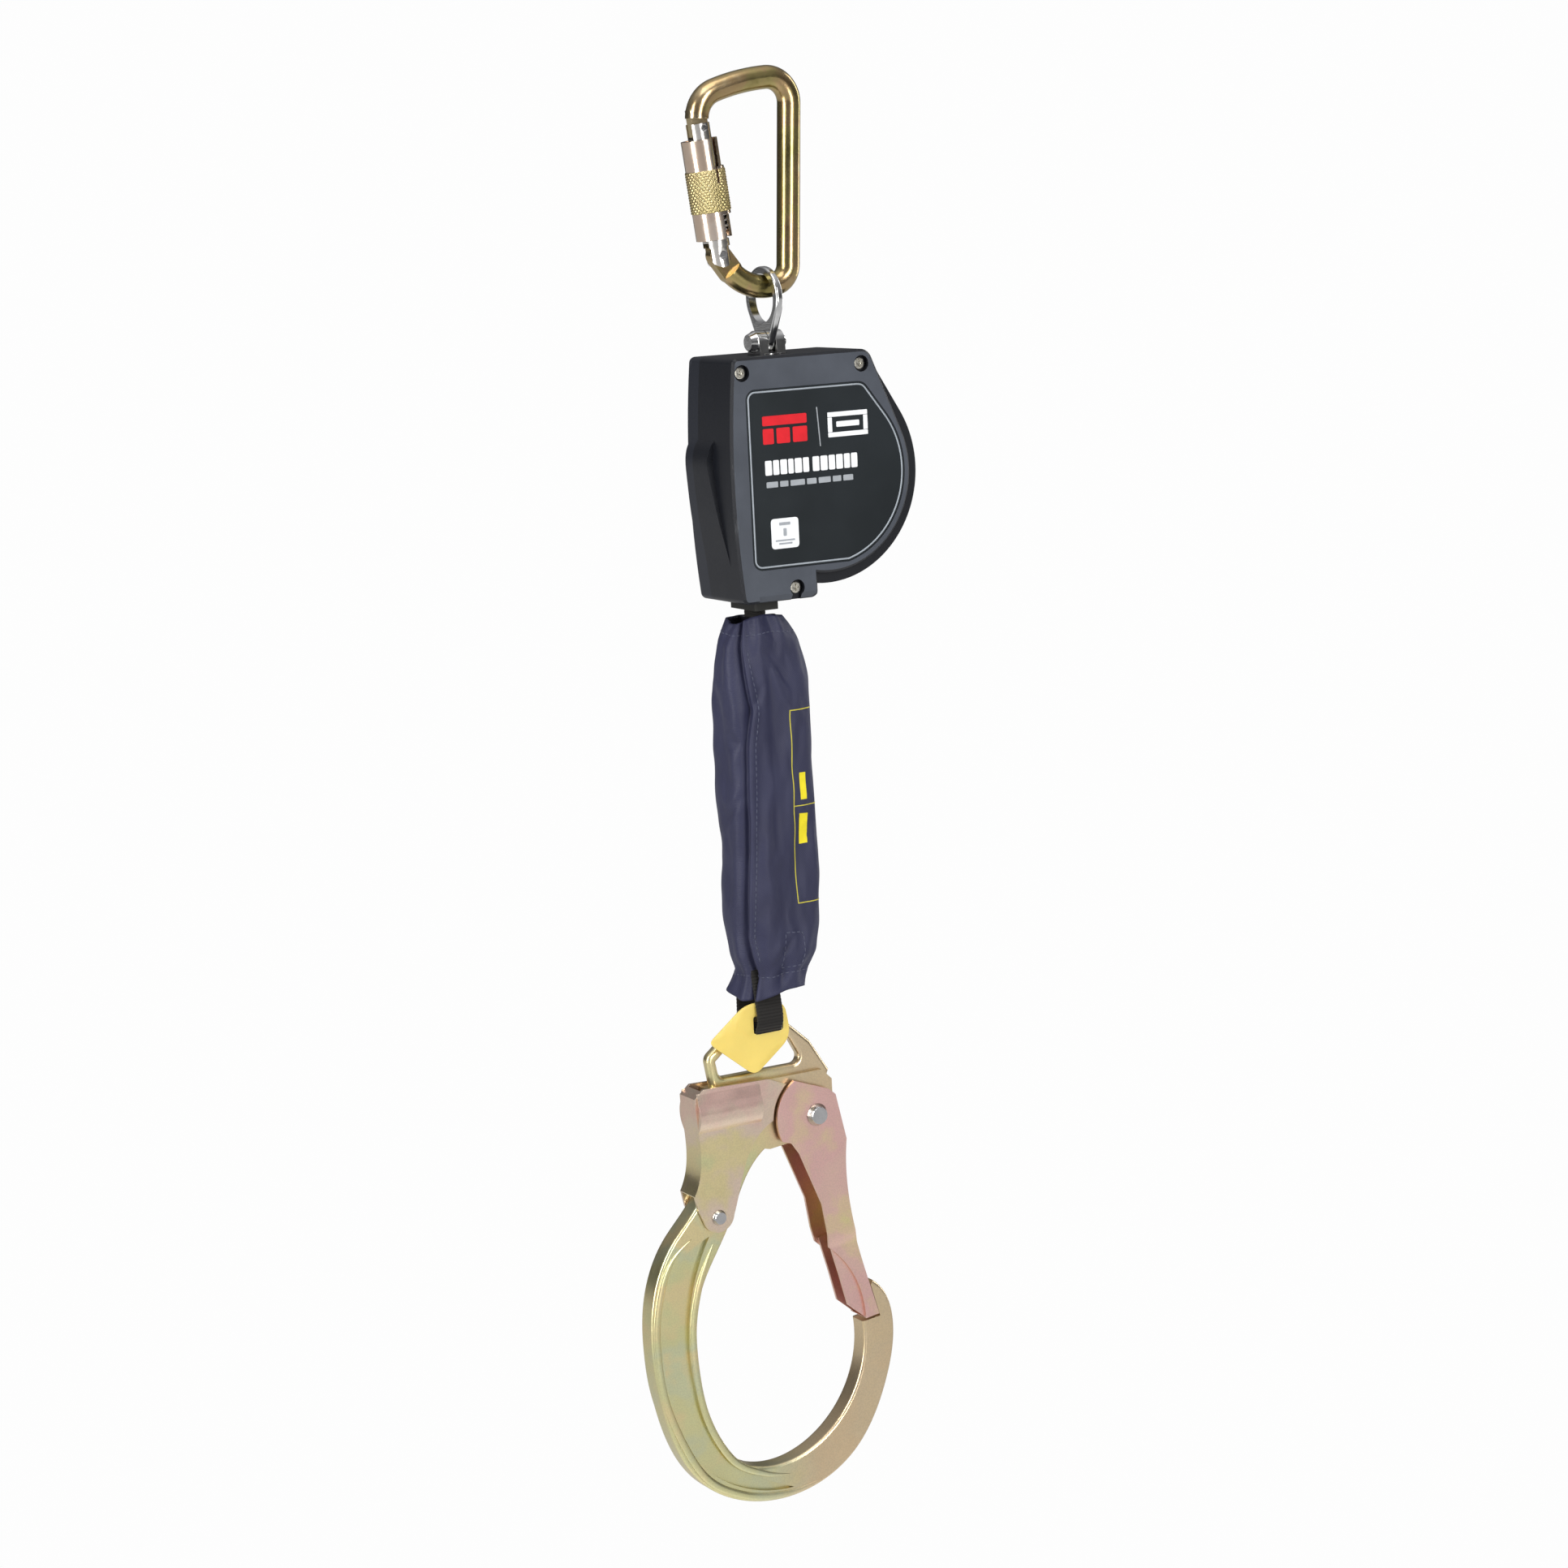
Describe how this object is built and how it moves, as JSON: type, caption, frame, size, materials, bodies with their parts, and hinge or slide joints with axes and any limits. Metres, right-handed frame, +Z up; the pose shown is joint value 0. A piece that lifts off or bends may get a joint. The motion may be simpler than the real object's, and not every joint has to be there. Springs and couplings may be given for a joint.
{
  "type": "self retracting lifeline",
  "caption": "Compact webbing self-retracting lifeline: twist-lock carabiner, swivel eye, D-shaped reel housing, navy energy-absorber pouch and large rebar hook.",
  "frame": {"origin": "on the drum axis, at the housing's flat back face", "axes": "+Z up along the hanging line, +Y out of the housing's back, front of the housing towards -Y"},
  "size_m": [0.1635, 0.0435, 0.692],
  "materials": {
    "carabiner_steel": "olive-gold and copper chromate over zinc",
    "sleeve_steel": "pale chromate over zinc, knurled band",
    "polished_steel": "polished",
    "hook_steel": "pale gold iridescent chromate over zinc",
    "gate_steel": "pink-gold iridescent chromate over zinc",
    "lever_steel": "gold iridescent chromate over zinc",
    "rivet_steel": "bright",
    "spring_steel": "oiled",
    "case_nylon": "satin moulded nylon",
    "plate_film": "printed film",
    "screw_steel": "nickel",
    "guide_plastic": "matt",
    "frame_steel": "zinc plated",
    "drum_aluminium": "cast",
    "bush_bronze": "sintered",
    "black_webbing": "woven",
    "pouch_nylon": "navy woven nylon",
    "tag_yellow": "pale yellow sheet"
  },
  "bodies": {
    "carabiner": {"carabiner_body": "carabiner_steel", "gate_rivet": "carabiner_steel"},
    "carabiner_gate": {"carabiner_gate": "sleeve_steel", "gate_latch_pin": "polished_steel", "gate_plunger": "spring_steel", "gate_spring": "spring_steel"},
    "lock_sleeve": {"lock_sleeve": "sleeve_steel", "sleeve_spring": "spring_steel"},
    "ring": {"eye_ring": "polished_steel"},
    "swivel": {"swivel_fork": "polished_steel", "swivel_rivet": "rivet_steel", "swivel_nut": "frame_steel", "swivel_washer": "frame_steel"},
    "housing": {"rear_cover": "case_nylon", "front_cover": "case_nylon", "name_plate": "plate_film", "cover_screws": "screw_steel", "web_guide": "guide_plastic", "anchor_bracket": "frame_steel", "main_shaft": "frame_steel", "shaft_circlips": "spring_steel", "ratchet_ring": "frame_steel", "motor_spring": "spring_steel"},
    "drum": {"drum": "drum_aluminium", "drum_front_flange": "drum_aluminium", "pawl_pins": "frame_steel", "shaft_bushes": "bush_bronze", "web_roll": "black_webbing"},
    "pawl_a": {"pawl_a": "frame_steel"},
    "pawl_b": {"pawl_b": "frame_steel"},
    "line": {"lifeline_web": "black_webbing"},
    "absorber": {"absorber_pouch": "pouch_nylon", "tear_web_pack": "black_webbing", "lower_web_loop": "black_webbing"},
    "tag": {"wear_tag": "tag_yellow"},
    "hook": {"hook_body": "hook_steel", "hook_gate_rivet": "rivet_steel", "lever_rivet": "rivet_steel", "hook_gate_spring": "spring_steel", "lever_spring": "spring_steel"},
    "hook_gate": {"hook_gate": "gate_steel"},
    "lock_lever": {"lock_lever": "lever_steel"}
  },
  "joints": [
    {"name": "gate_open", "type": "hinge", "parent": "carabiner", "child": "carabiner_gate", "pos_m": [-0.0406, -0.025, 0.1045], "axis": [0, 1, 0], "range_deg": [0, 24]},
    {"name": "sleeve_twist", "type": "hinge", "parent": "carabiner_gate", "child": "lock_sleeve", "pos_m": [-0.0406, -0.025, 0.1045], "axis": [-0.1219, 0, 0.9925], "range_deg": [0, 90]},
    {"name": "ring_swing", "type": "hinge", "parent": "carabiner", "child": "ring", "pos_m": [-0.0165, -0.025, 0.1132], "axis": [0, 1, 0], "range_deg": [-12, 30], "stiffness_Nm_per_rad": 15},
    {"name": "ring_pivot", "type": "hinge", "parent": "ring", "child": "swivel", "pos_m": [-0.017, -0.025, 0.063], "axis": [1, 0, 0], "range_deg": [-45, 45]},
    {"name": "swivel_spin", "type": "hinge", "parent": "swivel", "child": "housing", "pos_m": [-0.017, -0.025, 0.055], "axis": [0, 0, 1], "continuous": true},
    {"name": "line_payout", "type": "slide", "parent": "housing", "child": "line", "axis": [0, 0, -1], "range_m": [0, 1.8026], "stiffness_N_per_m": 3, "springref_m": -7, "deforming": ["lifeline_web"]},
    {"name": "drum_spin", "type": "hinge", "parent": "housing", "child": "drum", "pos_m": [0, -0.025, 0], "axis": [0, 1, 0], "range_deg": [-3421, 0]},
    {"name": "pawl_a_swing", "type": "hinge", "parent": "drum", "child": "pawl_a", "pos_m": [0, -0.025, 0.0255], "axis": [0, 1, 0], "range_deg": [0, 28]},
    {"name": "pawl_b_swing", "type": "hinge", "parent": "drum", "child": "pawl_b", "pos_m": [0, -0.025, -0.0255], "axis": [0, 1, 0], "range_deg": [0, 28]},
    {"name": "pouch_swing", "type": "hinge", "parent": "line", "child": "absorber", "pos_m": [-0.03055, -0.025, -0.064], "axis": [0, 1, 0], "range_deg": [-15, 15], "stiffness_Nm_per_rad": 12},
    {"name": "tag_lift", "type": "hinge", "parent": "absorber", "child": "tag", "pos_m": [-0.04, -0.0344, -0.2606], "axis": [1, 0, 0], "range_deg": [-45, 0]},
    {"name": "hook_swing", "type": "hinge", "parent": "absorber", "child": "hook", "pos_m": [-0.04, -0.025, -0.261], "axis": [1, 0, 0], "range_deg": [-8, 60]},
    {"name": "hook_gate_open", "type": "hinge", "parent": "hook", "child": "hook_gate", "pos_m": [-0.015, -0.025, -0.3105], "axis": [0, 1, 0], "range_deg": [0, 38]},
    {"name": "lever_squeeze", "type": "hinge", "parent": "hook", "child": "lock_lever", "pos_m": [-0.071, -0.025, -0.352], "axis": [0, 1, 0], "range_deg": [0, 5]}
  ],
  "couplings": [
    {"joint": "drum_spin", "follows": "line_payout", "rad_per_m": -33.113},
    {"joint": "pawl_b_swing", "follows": "pawl_a_swing", "ratio": 1}
  ]
}
